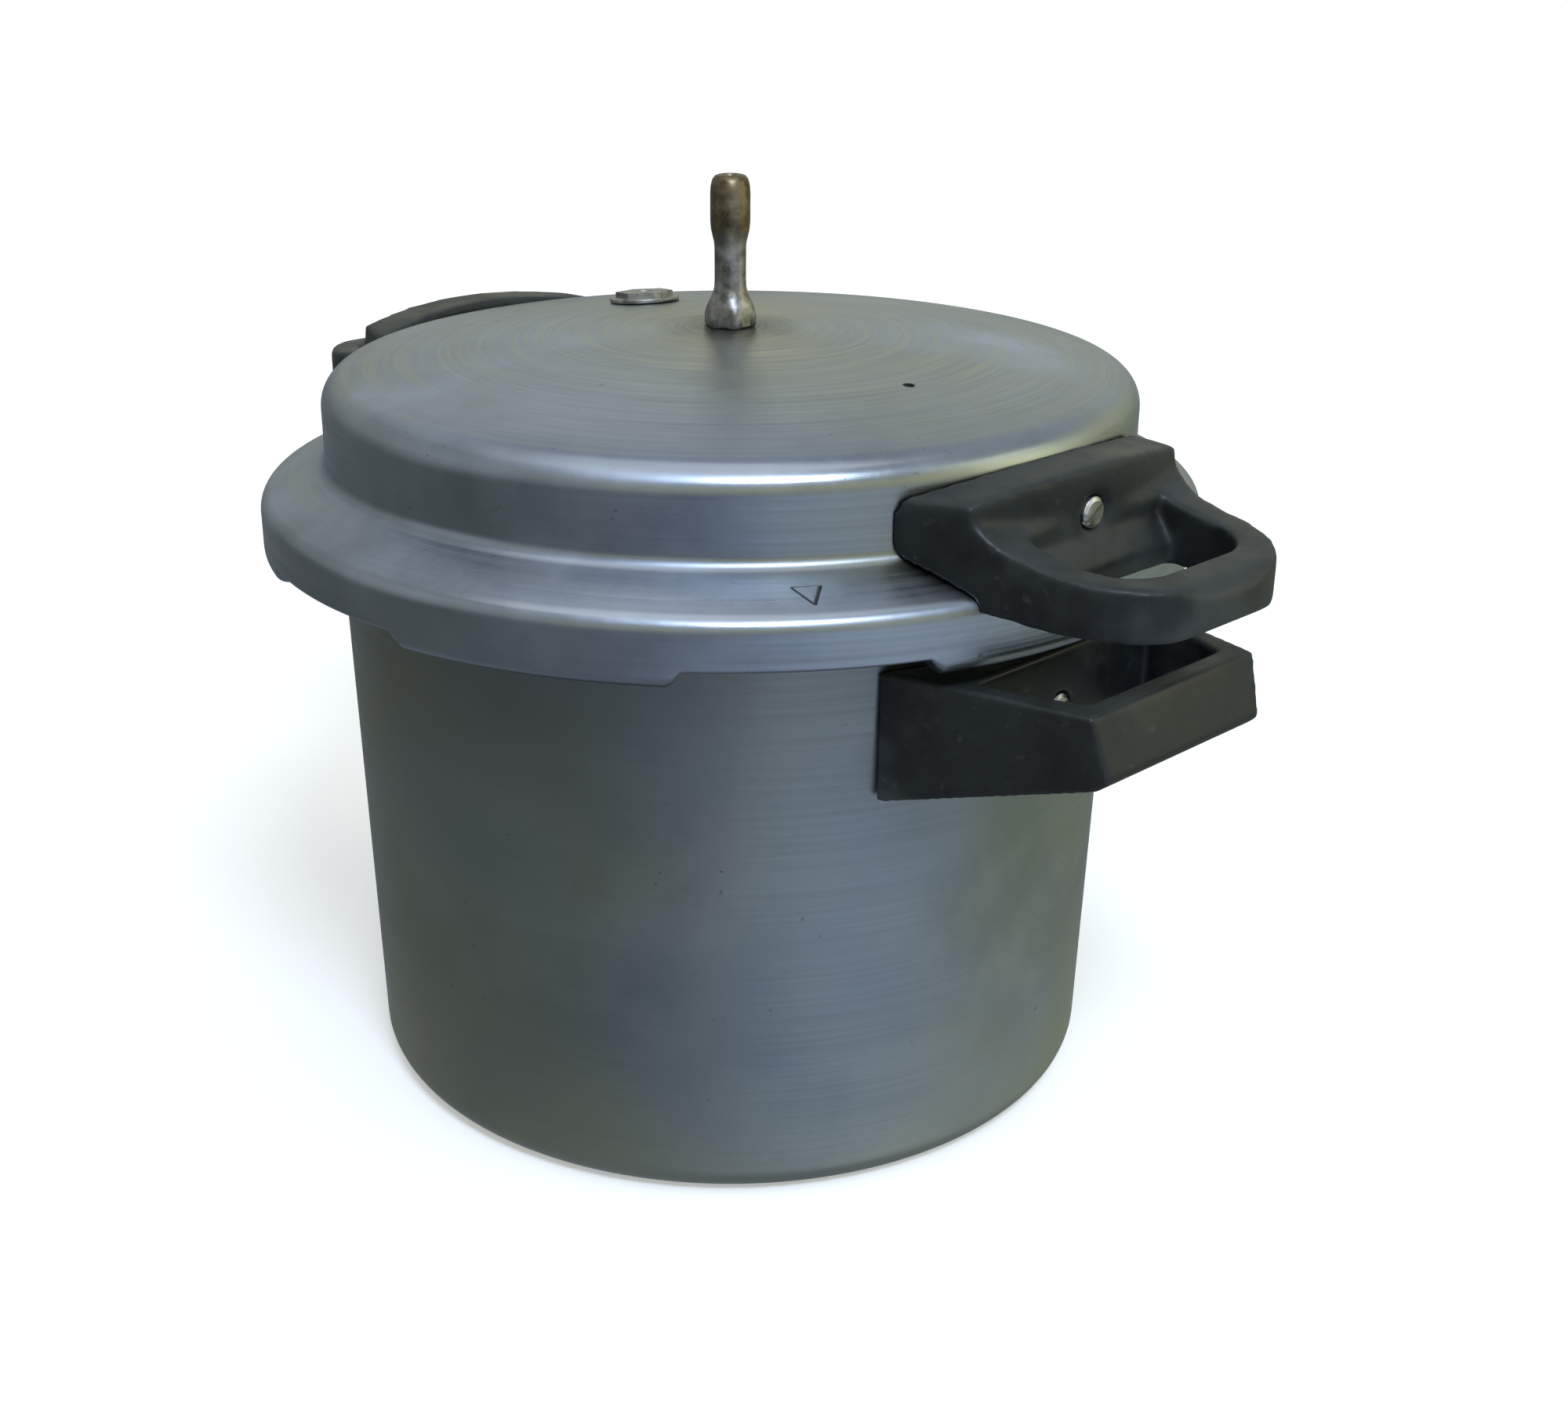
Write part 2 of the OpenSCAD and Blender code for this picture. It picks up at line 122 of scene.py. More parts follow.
def set_normals(mesh, sharp):
    """Faces outwards, smooth shading, and a crease wherever faces meet at more than sharp degrees."""
    mesh.validate()
    bm = bmesh.new()
    bm.from_mesh(mesh)
    bmesh.ops.recalc_face_normals(bm, faces=bm.faces)
    bm.to_mesh(mesh)
    bm.free()
    mesh.shade_smooth()
    mesh.set_sharp_from_angle(angle=math.radians(sharp))


class Cutters:
    """Closed shapes, gathered in one mesh, that are cut out of a piece."""

    def __init__(self):
        self.verts, self.faces, self.slots = [], [], []

    def loft(self, rings, slot=0):
        """A closed shape through rings of points, all of the same count."""
        base, count = len(self.verts), len(rings[0])
        for ring in rings:
            self.verts += ring
        for i in range(len(rings) - 1):
            for k in range(count):
                a, b = base + i * count, base + (i + 1) * count
                self.faces.append((a + k, a + (k + 1) % count, b + (k + 1) % count, b + k))
        last = base + (len(rings) - 1) * count
        self.faces += [tuple(range(base + count - 1, base - 1, -1)), tuple(range(last, last + count))]
        self.slots += [slot] * (len(self.faces) - len(self.slots))

    def hole(self, centre, axis, radius, length, slot=0, count=40):
        """A round hole from centre along axis, in mm."""
        turn = Vector(axis).to_track_quat("Z", "Y")
        rings = []
        for h in (0, length):
            points = arc(0, 0, radius, 0, 360, count)[:-1]
            rings.append([tuple((Vector(centre) + turn @ Vector((x, y, h))) * MM) for x, y in points])
        self.loft(rings, slot)

    def carve(self, piece, materials):
        """Cuts the shapes out of the piece. The cut faces take materials[slot]."""
        mesh = bpy.data.meshes.new("cutters")
        mesh.from_pydata(self.verts, [], self.faces)
        mesh.polygons.foreach_set("material_index", self.slots)
        for mat in materials:
            mesh.materials.append(mat)
        cutter = add("cutters", mesh)
        cut = piece.modifiers.new("carve", "BOOLEAN")
        cut.object, cut.use_self = cutter, True
        cut.solver, cut.material_mode = "EXACT", "TRANSFER"
        carved = bpy.data.meshes.new_from_object(piece.evaluated_get(bpy.context.evaluated_depsgraph_get()))
        piece.modifiers.clear()
        piece.data = carved
        set_normals(carved, CREASE_DEG)
        bpy.data.objects.remove(cutter)


# ---------------------------------------------------------------- materials

MIX_A, MIX_B = 6, 7  # the two colour sockets of a Mix node
PIT_SPOT = (0.0684, -0.0046, 0.2012)  # the one dark pit in the lid's top


class Nodes:
    """A small helper that builds a material's nodes."""

    def __init__(self, name):
        self.mat = bpy.data.materials.new(name)
        self.mat.use_nodes = True
        self.tree = self.mat.node_tree
        self.tree.nodes.clear()
        out = self.new("ShaderNodeOutputMaterial")
        self.bsdf = self.new("ShaderNodeBsdfPrincipled")
        self.link(self.bsdf.outputs[0], out.inputs[0])
        self.obj = self.new("ShaderNodeTexCoord").outputs["Object"]

    def new(self, kind, **values):
        node = self.tree.nodes.new(kind)
        for key, value in values.items():
            setattr(node, key, value)
        return node

    def link(self, a, b):
        self.tree.links.new(a, b)

    def feed(self, socket, value):
        """Sets a socket to a number or colour, or links it to another node's output."""
        if isinstance(value, (int, float)):
            socket.default_value = value
        elif isinstance(value, tuple):
            socket.default_value = (*value, 1)
        else:
            self.link(value, socket)

    def math(self, op, a, b=0.0):
        node = self.new("ShaderNodeMath", operation=op)
        for socket, value in zip(node.inputs, (a, b)):
            self.feed(socket, value)
        return node.outputs[0]

    def plus(self, a, b):
        return self.math("ADD", a, b)

    def times(self, a, b):
        return self.math("MULTIPLY", a, b)

    def noise(self, vector, scale, detail=3.0, rough=0.5):
        node = self.new("ShaderNodeTexNoise")
        for key, value in zip(("Scale", "Detail", "Roughness"), (scale, detail, rough)):
            node.inputs[key].default_value = value
        self.link(vector, node.inputs["Vector"])
        return node.outputs["Fac"]

    def span(self, value, lo, hi, out_lo, out_hi):
        """Maps lo..hi to out_lo..out_hi, and holds the ends."""
        node = self.new("ShaderNodeMapRange")
        for key, number in zip(("From Min", "From Max", "To Min", "To Max"), (lo, hi, out_lo, out_hi)):
            node.inputs[key].default_value = number
        self.link(value, node.inputs["Value"])
        return node.outputs["Result"]

    def mix(self, fac, a, b):
        node = self.new("ShaderNodeMix", data_type="RGBA")
        self.link(fac, node.inputs["Factor"])
        self.feed(node.inputs[MIX_A], a)
        self.feed(node.inputs[MIX_B], b)
        return node.outputs[2]

    def combine(self, x, y, z):
        node = self.new("ShaderNodeCombineXYZ")
        for socket, value in zip(node.inputs, (x, y, z)):
            self.feed(socket, value)
        return node.outputs[0]

    def bump(self, height, strength, distance):
        node = self.new("ShaderNodeBump")
        node.inputs["Strength"].default_value = strength
        node.inputs["Distance"].default_value = distance
        self.link(height, node.inputs["Height"])
        self.link(node.outputs[0], self.bsdf.inputs["Normal"])

    def rings(self, around, pitch, detail):
        """Noise drawn out into rings about the Z axis."""
        r, c, s, z = self.polar()
        along = self.times(self.plus(r, z), pitch)
        return self.noise(self.combine(self.times(c, around), self.times(s, around), along), 1, detail)

    def polar(self):
        """Distance from the Z axis, the angle's cosine and sine, and the height."""
        sep = self.new("ShaderNodeSeparateXYZ")
        self.link(self.obj, sep.inputs[0])
        x, y, z = sep.outputs
        r = self.math("SQRT", self.plus(self.times(x, x), self.times(y, y)))
        r = self.math("MAXIMUM", r, 0.0005)
        return r, self.math("DIVIDE", x, r), self.math("DIVIDE", y, r), z


def dimmed(colour, amount):
    return tuple(v * amount for v in colour)


def pot_wear(n, tone, haze, dark):
    """Soft clouds on the pot, painted shade of the lid's skirt that darkens the top of the wall, and paler
    and yellower near the base.
    """
    _, _, _, z = n.polar()
    cloud = n.noise(n.obj, 9, 3, 0.5)
    tone = n.mix(n.span(cloud, 0.5, 0.66, 0, 0.55), tone, (0.19, 0.235, 0.30))
    tone = n.mix(n.span(cloud, 0.34, 0.5, 0.55, 0), tone, (0.33, 0.34, 0.22))
    height = n.plus(z, n.span(haze, 0.3, 0.7, -0.02, 0.02))
    # Painted shade: the wall darkens towards its top, as if shaded by the lid's skirt.
    tone = n.mix(n.span(height, 0.085, 0.15, 0, 0.66), tone, dimmed(dark, 0.6))
    # Paler and yellower towards the base.
    return n.mix(n.span(height, 0.0, 0.05, 0.6, 0), tone, (0.45, 0.47, 0.36))


def lid_wear(n, tone, haze, speck):
    """Yellowish tarnish on the crown's wall in the shelter of the handles and round the vent's foot,
    grime close to that foot, and the dark pit."""
    r, c, _, z = n.polar()
    shelter = n.times(n.span(n.times(c, c), 0.45, 0.85, 0, 1), n.span(z, 0.186, 0.196, 1, 0))
    shelter = n.times(shelter, n.span(r, 0.112, 0.118, 1, 0))
    tone = n.mix(n.times(shelter, n.span(haze, 0.35, 0.6, 0.3, 0.85)), tone, (0.24, 0.235, 0.13))
    halo = n.times(n.span(r, 0.018, 0.05, 0.5, 0), n.span(haze, 0.4, 0.6, 0.2, 1))
    tone = n.mix(halo, tone, (0.30, 0.30, 0.20))
    grime = n.times(n.span(r, 0.0075, 0.021, 0.85, 0), n.span(haze, 0.35, 0.65, 0.35, 1))
    tone = n.mix(grime, tone, (0.06, 0.06, 0.05))
    spot = n.new("ShaderNodeVectorMath", operation="DISTANCE")
    n.link(n.obj, spot.inputs[0])
    spot.inputs[1].default_value = PIT_SPOT
    ragged = n.plus(spot.outputs["Value"], n.span(speck, 0.3, 0.7, -0.0002, 0.0002))
    return n.mix(n.span(ragged, 0.0012, 0.0018, 1, 0), tone, (0.01, 0.01, 0.01))


def turned_aluminium(name, dark, light, stain, rough, stain_amount, lid=False):
    """Spun sheet: fine rings left by polishing, hazy patches, stains and small pits."""
    n = Nodes(name)
    fine = n.rings(1.6, 2600, 2)
    wide = n.rings(1.1, 900, 4)
    haze = n.noise(n.obj, 16, 6, 0.6)
    patch = n.noise(n.obj, 5, 3, 0.5)
    speck = n.noise(n.obj, 420, 2, 0.5)
    streak_tone, streak_gloss = (0.22, 1.0) if lid else (0.12, 0.55)
    tone = n.mix(n.span(haze, 0.35, 0.68, 0, 1), dark, light)
    tone = n.mix(n.span(wide, 0.35, 0.7, 0.0, streak_tone), tone, dimmed(dark, 0.7))
    tone = n.mix(n.span(patch, 0.45, 0.7, 0, stain_amount), tone, stain)
    sparse = n.times(n.span(speck, 0.72, 0.77, 0, 1), n.span(n.noise(n.obj, 22, 2), 0.5, 0.62, 0, 0.7))
    tone = n.mix(sparse, tone, (0.05, 0.05, 0.045))
    tone = lid_wear(n, tone, haze, speck) if lid else pot_wear(n, tone, haze, dark)
    n.link(tone, n.bsdf.inputs["Base Color"])
    gloss = n.span(wide, 0.3, 0.7, -0.07 * streak_gloss, 0.09 * streak_gloss)
    gloss = n.plus(gloss, n.span(haze, 0.35, 0.7, -0.06, 0.1))
    n.link(n.plus(gloss, rough), n.bsdf.inputs["Roughness"])
    n.bsdf.inputs["Metallic"].default_value = 1.0
    n.bsdf.inputs["Anisotropic"].default_value = 0.55
    tangent = n.new("ShaderNodeTangent", direction_type="RADIAL", axis="Z")
    n.link(tangent.outputs[0], n.bsdf.inputs["Tangent"])
    dents = n.times(n.noise(n.obj, 70, 4, 0.6), 3.4)
    n.bump(n.plus(n.plus(fine, dents), n.times(speck, 0.4)), 0.14, 0.00016)
    return n.mat


def bakelite(name):
    """Black phenolic moulding, dulled by heat, paler where hands and cloths have rubbed it."""
    n = Nodes(name)
    grain = n.noise(n.obj, 900, 3, 0.6)
    cloud = n.noise(n.obj, 45, 5, 0.6)
    tone = n.mix(n.span(cloud, 0.35, 0.7, 0, 1), (0.003, 0.0045, 0.006), (0.008, 0.011, 0.012))
    tone = n.mix(n.span(n.noise(n.obj, 260, 2), 0.66, 0.8, 0, 0.35), tone, (0.05, 0.055, 0.05))
    geo = n.new("ShaderNodeNewGeometry")
    tone = n.mix(n.span(geo.outputs["Pointiness"], 0.52, 0.62, 0, 0.45), tone, (0.04, 0.045, 0.045))
    sep = n.new("ShaderNodeSeparateXYZ")
    n.link(geo.outputs["Normal"], sep.inputs[0])
    upward = n.span(sep.outputs[2], 0.45, 0.95, 0, 1)
    # Paler on faces that point up, in patches.
    paler_facing_up = n.times(upward, n.span(n.noise(n.obj, 80, 4, 0.6), 0.35, 0.62, 0.25, 0.9))
    tone = n.mix(paler_facing_up, tone, (0.024, 0.028, 0.026))
    rubbed = n.span(n.noise(n.obj, 34, 3, 0.6), 0.52, 0.66, 0, 1)
    rubbed = n.times(rubbed, n.span(cloud, 0.4, 0.6, 0.2, 0.8))
    tone = n.mix(rubbed, tone, (0.022, 0.027, 0.029))
    n.link(tone, n.bsdf.inputs["Base Color"])
    n.link(n.span(cloud, 0.3, 0.7, 0.34, 0.6), n.bsdf.inputs["Roughness"])
    n.bsdf.inputs["Specular IOR Level"].default_value = 0.32
    n.bump(n.plus(n.times(grain, 0.5), cloud), 0.16, 0.0004)
    return n.mat


def small_metal(name, dark, light, rough, stain=(0.05, 0.04, 0.03), amount=0.6):
    """Worn small fittings, darker where grime has settled."""
    n = Nodes(name)
    cloud = n.noise(n.obj, 170, 5, 0.65)
    fine = n.noise(n.obj, 1400, 2, 0.5)
    tone = n.mix(n.span(cloud, 0.35, 0.65, 0, 1), dark, light)
    tone = n.mix(n.span(n.noise(n.obj, 420, 4, 0.6), 0.56, 0.72, 0, amount), tone, stain)
    n.link(tone, n.bsdf.inputs["Base Color"])
    n.link(n.span(cloud, 0.3, 0.7, rough - 0.08, rough + 0.12), n.bsdf.inputs["Roughness"])
    n.bsdf.inputs["Metallic"].default_value = 1.0
    n.bump(n.plus(fine, cloud), 0.2, 0.0002)
    return n.mat


def vent_metal(name):
    """The vent pipe: tarnished head over a paler stem."""
    n = Nodes(name)
    _, _, _, z = n.polar()
    cloud = n.noise(n.obj, 200, 5, 0.65)
    stem = n.mix(n.span(cloud, 0.35, 0.65, 0, 1), (0.13, 0.125, 0.115), (0.36, 0.35, 0.33))
    head = n.mix(n.span(cloud, 0.35, 0.65, 0, 1), (0.08, 0.062, 0.036), (0.225, 0.185, 0.115))
    height = n.plus(z, n.span(cloud, 0.3, 0.7, -0.002, 0.002))
    n.link(n.mix(n.span(height, 0.226, 0.231, 0, 1), stem, head), n.bsdf.inputs["Base Color"])
    n.link(n.span(cloud, 0.3, 0.7, 0.3, 0.5), n.bsdf.inputs["Roughness"])
    n.bsdf.inputs["Metallic"].default_value = 1.0
    n.bump(cloud, 0.3, 0.0003)
    return n.mat


def rubber(name):
    """Matt black rubber."""
    n = Nodes(name)
    cloud = n.noise(n.obj, 300, 4, 0.6)
    tone = n.mix(n.span(cloud, 0.3, 0.7, 0, 1), (0.018, 0.018, 0.02), (0.045, 0.045, 0.048))
    n.link(tone, n.bsdf.inputs["Base Color"])
    n.link(n.span(cloud, 0.3, 0.7, 0.6, 0.8), n.bsdf.inputs["Roughness"])
    n.bump(cloud, 0.2, 0.0003)
    return n.mat


lid_mat = turned_aluminium(
    "lid_aluminium", (0.245, 0.28, 0.33), (0.38, 0.42, 0.475), (0.31, 0.32, 0.235), 0.34, 0.5, lid=True
)
pot_mat = turned_aluminium(
    "pot_aluminium", (0.22, 0.25, 0.27), (0.36, 0.39, 0.405), (0.29, 0.31, 0.215), 0.39, 0.7
)
handle_mat = bakelite("handle_phenolic")
vent_mat = vent_metal("vent_plating")
plug_mat = small_metal("plug_dull_metal", (0.2, 0.2, 0.18), (0.42, 0.42, 0.39), 0.42)
fuse_mat = small_metal("fuse_alloy", (0.3, 0.3, 0.29), (0.5, 0.5, 0.48), 0.36)
fixing_mat = small_metal("fixing_aluminium", (0.36, 0.36, 0.34), (0.55, 0.55, 0.52), 0.36)
screw_mat = small_metal("screw_steel", (0.34, 0.35, 0.33), (0.66, 0.67, 0.64), 0.34, amount=0.4)
ring_mat = rubber("ring_rubber")


# ---------------------------------------------------------------- pot


def pot_section(deg):
    """The pot's section from the axis, up the outside, over the flange and down the inside."""
    reach = FLANGE_R + (POT_LUG_R - FLANGE_R) * lug_weight(deg, POT_LUG_DEG)
    in_base, in_top, in_corner = POT_BASE_R - POT_WALL, POT_TOP_R - POT_WALL, POT_CORNER - POT_WALL
    outside = [(0, 0), (40, 0), (80, 0)] + arc(POT_BASE_R - POT_CORNER, POT_CORNER, POT_CORNER, -90, 0, 10)
    outside += line(outside[-1], (POT_TOP_R, POT_LUG_Z - 4), 8)
    outside += [(POT_TOP_R, POT_LUG_Z - 4), (POT_TOP_R + 0.6, POT_LUG_Z - 1.5), (POT_TOP_R + 2, POT_LUG_Z)]
    flange = [(reach - 0.8, POT_LUG_Z), (reach - 0.2, POT_LUG_Z + 0.2), (reach, POT_LUG_Z + 0.8)]
    flange += [(reach, POT_H - 0.8), (reach - 0.2, POT_H - 0.2), (reach - 0.8, POT_H)]
    inside = [(in_top + 0.8, POT_H), (in_top + 0.2, POT_H - 0.2), (in_top, POT_H - 0.9)]
    floor = arc(in_base - in_corner, POT_BASE_T + in_corner, in_corner, 0, -90, 6)
    inside += line(inside[-1], floor[0], 8) + floor + [(50, POT_BASE_T), (0, POT_BASE_T)]
    return outside + flange + inside


pot = lathe("pot_spun_body", pot_section)
pot.data.materials.append(pot_mat)
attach(pot, "pot")
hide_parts("pot")


# ---------------------------------------------------------------- lid


def dome(r):
    """Height of the crown's domed top at radius r."""
    return CROWN_Z + DOME * (1 - (r / (CROWN_R - CROWN_CORNER)) ** 2)


def between(a, b, w):
    """Each point of a moved towards its match in b, by w from 0 to 1."""
    return [(p[0] + (q[0] - p[0]) * w, p[1] + (q[1] - p[1]) * w) for p, q in zip(a, b)]


def lid_section(deg):
    """The lid's section from the skirt's lower edge, up the outside to the middle, and back underneath."""
    w = lug_weight(deg, LID_LUG_DEG)
    flat_r = CROWN_R - CROWN_CORNER
    # From the inner side of the skirt, round its lower edge, to the outer side.
    plain = [(SKIRT_IN_R, SKIRT_Z + 1.2), (SKIRT_IN_R, SKIRT_Z + 0.8), (SKIRT_IN_R + 0.1, SKIRT_Z + 0.5),
             (SKIRT_IN_R + 0.3, SKIRT_Z + 0.2), (SKIRT_IN_R + 0.6, SKIRT_Z)]
    plain += arc(SKIRT_R - 1.0, SKIRT_Z + 1.0, 1.0, -90, 0, 8)
    lug = [(SKIRT_IN_R, LIP_TOP_Z), (LIP_R + 0.8, LIP_TOP_Z), (LIP_R, LIP_TOP_Z - 0.8),
           (LIP_R, LUG_Z + 0.8), (LIP_R + 0.8, LUG_Z)]
    lug += arc(SKIRT_R - 4, LUG_Z + 4, 4, -90, 0, 8)
    edge = between(plain, lug, w)
    outer = line((SKIRT_R, SKIRT_Z + 1), (SKIRT_R, CORNER_Z - 5), 3)
    outer += arc(SKIRT_R - 5, CORNER_Z - 5, 5, 0, 66, 10)
    outer += line(outer[-1], (CROWN_R + 2.4, SHOULDER_Z + 0.35), 4)
    outer += arc(CROWN_R + FILLET, SHOULDER_Z + FILLET, FILLET, 246, 180, 8)
    outer += line(outer[-1], (CROWN_R, CROWN_Z - CROWN_CORNER), 4)
    outer += arc(flat_r, CROWN_Z - CROWN_CORNER, CROWN_CORNER, 0, 79, 14)
    top = [(flat_r * (1 - i / 16), dome(flat_r * (1 - i / 16))) for i in range(1, 16)] + [(0.4, LID_TOP_Z)]
    under = [(0.4, LID_TOP_Z - SHEET)] + [(flat_r * i / 8, dome(flat_r * i / 8) - SHEET) for i in range(1, 8)]
    under += arc(flat_r, CROWN_Z - CROWN_CORNER, CROWN_CORNER - SHEET, 80, 0, 6)
    drop = SHEET / math.cos(math.radians(24))
    under += [(CROWN_R - SHEET, SHOULDER_Z - drop + 3), (CROWN_R - SHEET + 1.6, SHOULDER_Z - drop + 0.6)]
    under += [(SKIRT_IN_R - 3, CORNER_Z - drop - 0.2), (SKIRT_IN_R, CORNER_Z - drop - 2.4)]
    return edge + outer + top + under


lid = lathe("lid_spun_shell", lid_section)
lid.data.materials.append(lid_mat)
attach(lid, "lid")
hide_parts("lid_shell")


# The alignment arrow is stamped in the shoulder. Each stroke is a V-shaped groove.
ARROW_DEG = -34.9
ARROW_DEPTH = 0.3
ARROW_RISE = 0.06  # the grooves start this far above the surface, so that they cut it cleanly
ARROW_CORNERS = [(-3.6, 115.8), (3.2, 115.6), (0.9, 121.4)]
ARROW_HALF_WIDTHS = [0.22, 0.5, 0.34]
SHOULDER_EDGE_R, SHOULDER_EDGE_Z, SHOULDER_SLOPE = 123.53, 166.67, 0.4262


def on_shoulder(u, r, lift):
    """A point on the lid's shoulder: u mm round from the arrow's middle, at radius r."""
    a = math.radians(ARROW_DEG) + u / r
    z = SHOULDER_EDGE_Z + (SHOULDER_EDGE_R - r) * SHOULDER_SLOPE + lift
    return (r * MM * math.cos(a), r * MM * math.sin(a), z * MM)


lid_cuts = Cutters()
for i, half in enumerate(ARROW_HALF_WIDTHS):
    (u0, r0), (u1, r1) = ARROW_CORNERS[i], ARROW_CORNERS[(i + 1) % 3]
    length = math.hypot(u1 - u0, r1 - r0)
    nu, nr = -(r1 - r0) / length * half, (u1 - u0) / length * half
    rings = []
    for k in range(7):
        u, r = u0 + (u1 - u0) * k / 6, r0 + (r1 - r0) * k / 6
        rings.append([on_shoulder(u + nu, r + nr, ARROW_RISE), on_shoulder(u, r, -ARROW_DEPTH),
                      on_shoulder(u - nu, r - nr, ARROW_RISE)])
    lid_cuts.loft(rings, slot=1)

# The pit, and the holes of the vent pipe, the tilted safety plug and the two studs.
PIT = (68.4, -4.6)
lid_cuts.hole((*PIT, dome(PIT[0]) - 1.2), (0, 0, 1), 1.35, 4, slot=1, count=24)
lid_cuts.hole((0, 0, LID_TOP_Z - 8), (0, 0, 1), 4, 16)
PLUG_OFFSET, PLUG_DEG = 54.8, 163.7
tilt = math.atan(2 * DOME * PLUG_OFFSET / (CROWN_R - CROWN_CORNER) ** 2)
around = math.radians(PLUG_DEG)
outward = Vector((math.cos(around), math.sin(around), 0))
plug_axis = outward * math.sin(tilt) + Vector((0, 0, math.cos(tilt)))
plug_seat = outward * PLUG_OFFSET + Vector((0, 0, dome(PLUG_OFFSET)))
lid_cuts.hole(tuple(plug_seat - plug_axis * 8), tuple(plug_axis), 5, 16)
SCREW_Z, LEFT_LIFT, POT_SCREW_Z, STUD_R = 179.6, 6.0, 129.0, 2.7
lid_cuts.hole((100, 0, SCREW_Z), (1, 0, 0), STUD_R, 14)
lid_cuts.hole((-100, 0, SCREW_Z + LEFT_LIFT), (-1, 0, 0), STUD_R, 14)
# The walls of the arrow's grooves and of the pit take a dark metal: grime, and painted shade in the hollows.
stamp_grime_and_shade_mat = small_metal("stamp_shadow", (0.05, 0.055, 0.06), (0.12, 0.13, 0.14), 0.5)
lid_cuts.carve(lid, (lid_mat, stamp_grime_and_shade_mat))

pot_cuts = Cutters()
for way in (1, -1):
    pot_cuts.hole((way * 95, 0, POT_SCREW_Z), (way, 0, 0), STUD_R, 18)
pot_cuts.carve(pot, (pot_mat,))

# ---------------------------------------------------------------- vent pipe


def hex_radius(deg, flat):
    """Radius at an angle of a hexagon that is flat from its centre to each side."""
    return flat / math.cos(math.radians((deg + 30) % 60 - 30))


def vent_section(deg):
    """Shank, hexagonal foot, neck, head and bore."""
    z0, top, bore = LID_TOP_Z + 0.05, LID_TOP_Z + 39.2, 1.6
    flat = hex_radius(deg, 6.2)
    foot = [(3.9, z0 - 11), (3.9, z0), (flat - 0.35, z0), (flat, z0 + 0.4), (flat, z0 + 3.0)]
    foot += [(min(flat, 6.7) * 0.985, z0 + 4.4), (6.0, z0 + 5.8), (5.25, z0 + 7.3), (4.6, z0 + 8.8)]
    neck = [(4.3, z0 + 10.2), (4.2, z0 + 12), (4.2, z0 + 17), (4.22, top - 18.4), (4.35, top - 17.2)]
    head = [(4.75, top - 15.6), (5.1, top - 14.0), (5.3, top - 12.0), (5.3, top - 4.6), (5.15, top - 2.8)]
    head += [(4.75, top - 1.2), (4.1, top - 0.3), (3.3, top), (bore + 0.5, top), (bore, top - 0.6)]
    return foot + neck + head + [(bore, z0 - 11)]


vent = lathe("vent_turned_pipe", vent_section, columns=96)
vent.data.materials.append(vent_mat)
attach(vent, "lid")
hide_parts("vent_pipe")

# ---------------------------------------------------------------- CAD nodes that stay, with soft edges

LOOKS = {
    "sealing_ring": ring_mat,
    "safety_plug_washer": ring_mat,
    "safety_plug_body": plug_mat,
    "safety_plug_fuse": fuse_mat,
    "vent_washer": fixing_mat,
    "vent_nut": fixing_mat,
    "safety_plug_nut": fixing_mat,
}
for side in ("right", "left"):
    for owner in ("lid", "pot"):
        LOOKS[f"{owner}_handle_{side}"] = handle_mat
        LOOKS[f"{owner}_stud_{side}"] = fixing_mat
        LOOKS[f"{owner}_screw_{side}"] = screw_mat
        LOOKS[f"{owner}_screw_washer_{side}"] = screw_mat

WELD_GAP, VOXEL, SOFT_EDGE, SOFT_EDGE_DEG = 0.00001, 0.0008, 0.00025, 35
LID_HANDLE_RELAX, POT_HANDLE_RELAX = 22, 6  # passes that round the handles' edges
for node, mat in LOOKS.items():
    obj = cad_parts[node]
    if not obj.material_slots:
        raise SystemExit(node + " has no material slot")
    for slot in obj.material_slots:
        slot.link = "OBJECT"
        slot.material = mat
    weld = obj.modifiers.new("weld", "WELD")
    weld.merge_threshold = WELD_GAP
    if "_handle_" in node:
        remesh = obj.modifiers.new("moulded", "REMESH")
        remesh.mode = "VOXEL"
        remesh.voxel_size = VOXEL
        remesh.use_smooth_shade = True
        relax = obj.modifiers.new("worn_edges", "SMOOTH")
        relax.factor = 0.5
        relax.iterations = LID_HANDLE_RELAX if node.startswith("lid") else POT_HANDLE_RELAX
    else:
        bevel = obj.modifiers.new("soft_edges", "BEVEL")
        bevel.width = SOFT_EDGE
        bevel.segments = 2
        bevel.limit_method = "ANGLE"
        bevel.angle_limit = math.radians(SOFT_EDGE_DEG)
        bevel.harden_normals = True

# ---------------------------------------------------------------- floor, light, camera

FLOOR_HALF, FLOOR_Z = 6.0, -0.0003
corners = [(x * FLOOR_HALF, y * FLOOR_HALF, FLOOR_Z) for x, y in ((-1, -1), (1, -1), (1, 1), (-1, 1))]
floor_mesh = bpy.data.meshes.new("floor")
floor_mesh.from_pydata(corners, [], [(0, 1, 2, 3)])
floor = bpy.data.objects.new("floor", floor_mesh)
bpy.context.scene.collection.objects.link(floor)
pale = Nodes("pale_floor")
pale.bsdf.inputs["Base Color"].default_value = (0.86, 0.86, 0.85, 1)
pale.bsdf.inputs["Roughness"].default_value = 0.9
pale.bsdf.inputs["Emission Color"].default_value = (1, 1, 1, 1)
# The floor glows a little, more so far out, so that it fades into the backdrop.
away, _, _, _ = pale.polar()
pale.link(pale.span(away, 0.3, 1.1, 0.3, 0.62), pale.bsdf.inputs["Emission Strength"])
floor_mesh.materials.append(pale.mat)

CAMERA_AZ, CAMERA_EL, CAMERA_DIST = 46.7, 22.18, 0.58355
LENS_MM, SENSOR_MM, SHIFT_X, SHIFT_Y = 46.41, 36, 0.03425, 0.0073
AIM = Vector((0, 0, 0.0921))


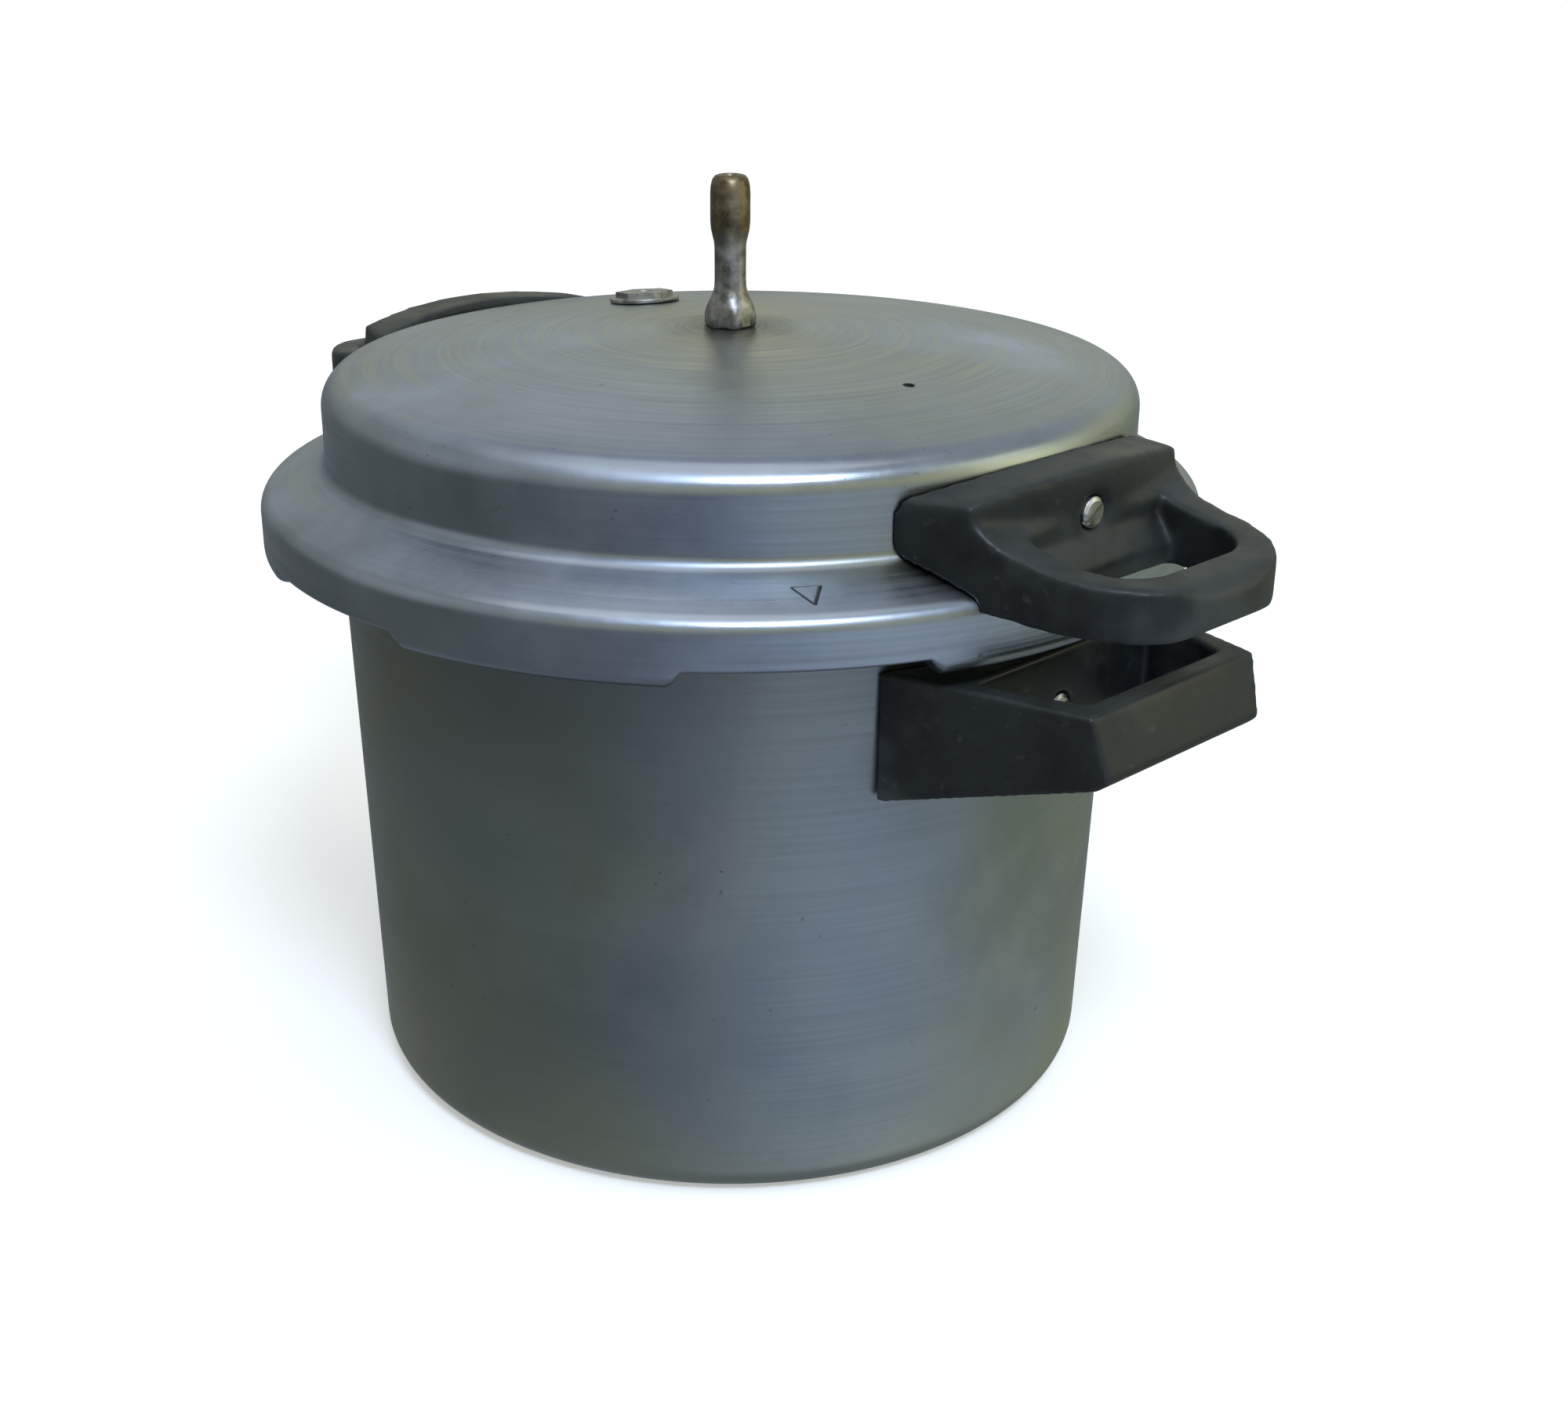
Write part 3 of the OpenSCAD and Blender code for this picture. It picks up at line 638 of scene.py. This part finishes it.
def spherical(az, el, dist):
    """A place seen from the origin at an azimuth and elevation. Azimuth 0 is on the -Y side."""
    a, e = math.radians(az), math.radians(el)
    return Vector((math.sin(a) * math.cos(e), -math.cos(a) * math.cos(e), math.sin(e))) * dist


def area(name, az, el, dist, size, watts, colour):
    """A rectangular lamp that faces the object."""
    data = bpy.data.lights.new(name, "AREA")
    data.shape = "RECTANGLE"
    data.size, data.size_y = size
    data.energy = watts
    data.color = colour
    obj = bpy.data.objects.new(name, data)
    obj.location = AIM + spherical(az, el, dist)
    obj.rotation_mode = "QUATERNION"
    obj.rotation_quaternion = (AIM - obj.location).to_track_quat("-Z", "Y")
    bpy.context.scene.collection.objects.link(obj)


area("key", 60, 48, 1.3, (0.34, 0.26), 8.6, (0.81, 0.94, 1.18))
area("top", 10, 80, 1.6, (1.4, 1.4), 6, (1.0, 0.99, 0.95))
area("left_fill", -30, 20, 1.6, (0.8, 1.2), 0.6, (0.85, 0.93, 1.0))
area("right_fill", 130, 18, 1.6, (0.7, 1.2), 4, (0.98, 1.0, 0.70))

# A studio that is bright overhead and behind, and dim below the horizon. The floor stays out of
# glossy rays, so that the metal reflects this dimmer surround.
floor.visible_glossy = False
world = bpy.data.worlds.new("studio")
world.use_nodes = True
bpy.context.scene.world = world
tree = world.node_tree
direction = tree.nodes.new("ShaderNodeTexCoord").outputs["Generated"]
background = tree.nodes["Background"]


def facing(vector, lo, hi, out_lo, out_hi):
    """How far a direction points along vector, mapped to a range."""
    dot = tree.nodes.new("ShaderNodeVectorMath")
    dot.operation = "DOT_PRODUCT"
    dot.inputs[1].default_value = vector
    tree.links.new(direction, dot.inputs[0])
    span = tree.nodes.new("ShaderNodeMapRange")
    span.interpolation_type = "SMOOTHSTEP"
    for name, value in zip(("From Min", "From Max", "To Min", "To Max"), (lo, hi, out_lo, out_hi)):
        span.inputs[name].default_value = value
    tree.links.new(dot.outputs["Value"], span.inputs["Value"])
    return span.outputs["Result"]


def layer(fac, below, above):
    """A mix of two colours, or of what earlier layers gave."""
    mix = tree.nodes.new("ShaderNodeMix")
    mix.data_type = "RGBA"
    tree.links.new(fac, mix.inputs["Factor"])
    for socket, value in ((mix.inputs[MIX_A], below), (mix.inputs[MIX_B], above)):
        if isinstance(value, tuple):
            socket.default_value = (*value, 1)
        else:
            tree.links.new(value, socket)
    return mix.outputs[2]


TO_RIGHT = (0.686, 0.728, 0.0)  # level, to the right of the camera's line of sight
GLOW = (0.931, -0.135, -0.342)  # a pale patch in front, to the right and below
low = layer(facing(TO_RIGHT, 0.3, 0.95, 0, 1), (0.23, 0.26, 0.31), (0.42, 0.46, 0.34))
low = layer(facing(GLOW, 0.72, 0.99, 0, 0.85), low, (0.74, 0.86, 1.06))
low = layer(facing(TO_RIGHT, -0.95, -0.2, 1, 0), low, (0.19, 0.205, 0.19))
high = layer(facing((0, 0, 1), 0.3, 0.64, 0, 1), (0.78, 0.78, 0.54), (0.50, 0.56, 0.665))
high = layer(facing(TO_RIGHT, -0.75, 0.05, 0.9, 0), high, (0.40, 0.42, 0.40))
sky = layer(facing((0, 0, 1), -0.05, 0.3, 0, 1), low, high)
# Past the floor's edge the backdrop is plain and as pale as the floor.
backdrop = layer(tree.nodes.new("ShaderNodeLightPath").outputs["Is Camera Ray"], sky, (1.0, 1.0, 1.0))
tree.links.new(backdrop, background.inputs[0])
background.inputs[1].default_value = 1.0
bpy.context.scene.view_settings.view_transform = "Standard"

camera = bpy.data.objects.new("camera", bpy.data.cameras.new("camera"))
camera.data.sensor_width = SENSOR_MM
camera.data.lens = LENS_MM
camera.data.shift_x = SHIFT_X
camera.data.shift_y = SHIFT_Y
camera.location = AIM + spherical(CAMERA_AZ, CAMERA_EL, CAMERA_DIST)
camera.rotation_mode = "QUATERNION"
camera.rotation_quaternion = (AIM - camera.location).to_track_quat("-Z", "Y")
bpy.context.scene.collection.objects.link(camera)
bpy.context.scene.camera = camera

bpy.context.view_layer.update()
